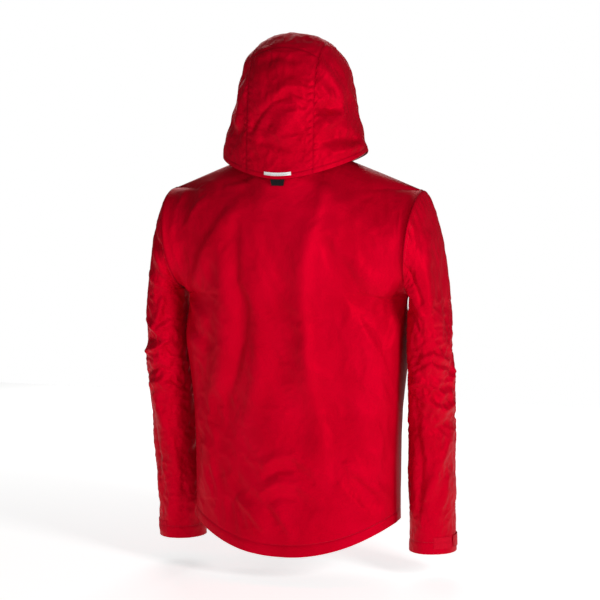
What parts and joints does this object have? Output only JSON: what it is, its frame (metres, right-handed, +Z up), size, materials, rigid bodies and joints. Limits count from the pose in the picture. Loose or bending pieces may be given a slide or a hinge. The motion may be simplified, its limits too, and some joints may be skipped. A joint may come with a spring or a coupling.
{
  "type": "hardshell jacket",
  "caption": "Hip-length hooded hardshell jacket with a full front zip, hand pockets, set-in sleeves with cuff tabs and a fold-back hood.",
  "frame": {"origin": "the spot under the hanger loop, inside the back of the neck, that bears on a hook", "axes": "+Z up along the back, -Y the way the wearer faces, +X the wearer's left"},
  "size_m": [0.618, 0.2546, 0.9971],
  "materials": {
    "shell_fabric": "woven polyester face of a three-layer shell laminate, satin",
    "lining": "plain taffeta",
    "black_trim": "woven tape and webbing",
    "zip_tape": "knitted tape and moulded coil",
    "zip_metal": "die-cast, dark satin",
    "reflective": "heat-bonded reflective film",
    "label": "woven satin, blank"
  },
  "bodies": {
    "body": {"back_panel": "shell_fabric", "front_panel_left": "shell_fabric", "front_panel_right": "shell_fabric", "lining_back": "lining", "lining_front_left": "lining", "lining_front_right": "lining", "hem_facing_back": "black_trim", "hem_facing_front_left": "black_trim", "hem_facing_front_right": "black_trim", "collar_back": "shell_fabric", "hanger_loop": "black_trim", "care_label": "label", "pocket_welt_left": "shell_fabric", "pocket_welt_right": "shell_fabric", "pocket_zip_left": "zip_tape", "pocket_zip_right": "zip_tape", "pocket_bag_left": "lining", "pocket_bag_right": "lining", "hood_foot": "shell_fabric", "hood_neck_band": "shell_fabric", "hood_reflective_strip": "reflective", "hem_eyelet_left": "zip_metal", "hem_eyelet_right": "zip_metal"},
    "left_edge": {"front_edge_left": "shell_fabric", "collar_front_left": "shell_fabric", "zip_tape_left": "zip_tape", "zip_coil_left": "zip_tape", "zip_box": "zip_metal", "storm_flap": "shell_fabric", "chin_guard": "lining"},
    "right_edge": {"front_edge_right": "shell_fabric", "collar_front_right": "shell_fabric", "zip_tape_right": "zip_tape", "zip_coil_right": "zip_tape", "zip_pin": "zip_metal"},
    "front_slider": {"zip_slider": "zip_metal"},
    "front_pull": {"zip_puller": "zip_metal"},
    "hood": {"hood_centre_back": "shell_fabric", "hood_crown": "shell_fabric", "hood_brim": "shell_fabric", "hood_side_left": "shell_fabric", "hood_side_right": "shell_fabric", "hood_edge_binding": "black_trim"},
    "back_tab": {"hood_back_tab": "black_trim"},
    "left_pocket_runner": {"pocket_slider_left": "zip_metal"},
    "left_pocket_pull": {"pocket_puller_left": "zip_metal"},
    "left_arm": {"upper_sleeve_left": "shell_fabric", "elbow_left": "shell_fabric"},
    "left_forearm": {"forearm_left": "shell_fabric", "cuff_facing_left": "black_trim", "cuff_loop_patch_left": "black_trim"},
    "left_tab": {"cuff_tab_left": "black_trim"},
    "right_pocket_runner": {"pocket_slider_right": "zip_metal"},
    "right_pocket_pull": {"pocket_puller_right": "zip_metal"},
    "right_arm": {"upper_sleeve_right": "shell_fabric", "elbow_right": "shell_fabric"},
    "right_forearm": {"forearm_right": "shell_fabric", "cuff_facing_right": "black_trim", "cuff_loop_patch_right": "black_trim"},
    "right_tab": {"cuff_tab_right": "black_trim"}
  },
  "joints": [
    {"name": "hood_fold", "type": "hinge", "parent": "body", "child": "hood", "pos_m": [0, -0.03, 0.01], "axis": [-1, 0, 0], "range_deg": [0, 75], "deforming": ["hood_foot", "hood_neck_band"]},
    {"name": "back_tab_lift", "type": "hinge", "parent": "body", "child": "back_tab", "pos_m": [0, 0.0242, -0.0263], "axis": [1, 0, 0], "range_deg": [0, 60]},
    {"name": "left_front_opening", "type": "hinge", "parent": "body", "child": "left_edge", "pos_m": [0.062, -0.2042, -0.4], "axis": [0, 0.0727, 0.9974], "range_deg": [0, 70], "deforming": ["storm_flap"]},
    {"name": "right_front_opening", "type": "hinge", "parent": "body", "child": "right_edge", "pos_m": [-0.062, -0.2042, -0.4], "axis": [0, -0.0727, -0.9974], "range_deg": [0, 70]},
    {"name": "front_zip", "type": "slide", "parent": "left_edge", "child": "front_slider", "axis": [0, -0.0727, -0.9974], "range_m": [0, 0.68]},
    {"name": "front_puller", "type": "hinge", "parent": "front_slider", "child": "front_pull", "pos_m": [0, -0.17367, 0.01321], "axis": [-1, 0, 0], "range_deg": [0, 90]},
    {"name": "left_pocket_zip", "type": "slide", "parent": "body", "child": "left_pocket_runner", "axis": [0.1723, 0.0265, -0.9847], "range_m": [0, 0.15]},
    {"name": "left_pocket_puller", "type": "hinge", "parent": "left_pocket_runner", "child": "left_pocket_pull", "pos_m": [0.12531, -0.20626, -0.44468], "axis": [-0.9246, -0.3404, -0.171], "range_deg": [0, 90]},
    {"name": "left_shoulder", "type": "hinge", "parent": "body", "child": "left_arm", "pos_m": [0.24, -0.095, -0.145], "axis": [-0.9925, 0, 0.1219], "range_deg": [0, 60]},
    {"name": "left_elbow", "type": "hinge", "parent": "left_arm", "child": "left_forearm", "pos_m": [0.266, -0.105, -0.4], "axis": [-1, 0, 0], "range_deg": [0, 70], "deforming": ["elbow_left"]},
    {"name": "left_cuff_tab", "type": "hinge", "parent": "left_forearm", "child": "left_tab", "pos_m": [0.2878, -0.193, -0.725], "axis": [0, 0, -1], "range_deg": [0, 70]},
    {"name": "right_pocket_zip", "type": "slide", "parent": "body", "child": "right_pocket_runner", "axis": [-0.1723, 0.0265, -0.9847], "range_m": [0, 0.15]},
    {"name": "right_pocket_puller", "type": "hinge", "parent": "right_pocket_runner", "child": "right_pocket_pull", "pos_m": [-0.12531, -0.20626, -0.44468], "axis": [-0.9246, 0.3404, 0.171], "range_deg": [0, 90]},
    {"name": "right_shoulder", "type": "hinge", "parent": "body", "child": "right_arm", "pos_m": [-0.24, -0.095, -0.145], "axis": [-0.9925, 0, -0.1219], "range_deg": [0, 60]},
    {"name": "right_elbow", "type": "hinge", "parent": "right_arm", "child": "right_forearm", "pos_m": [-0.266, -0.105, -0.4], "axis": [-1, 0, 0], "range_deg": [0, 70], "deforming": ["elbow_right"]},
    {"name": "right_cuff_tab", "type": "hinge", "parent": "right_forearm", "child": "right_tab", "pos_m": [-0.2878, -0.193, -0.725], "axis": [0, 0, 1], "range_deg": [0, 70]}
  ]
}
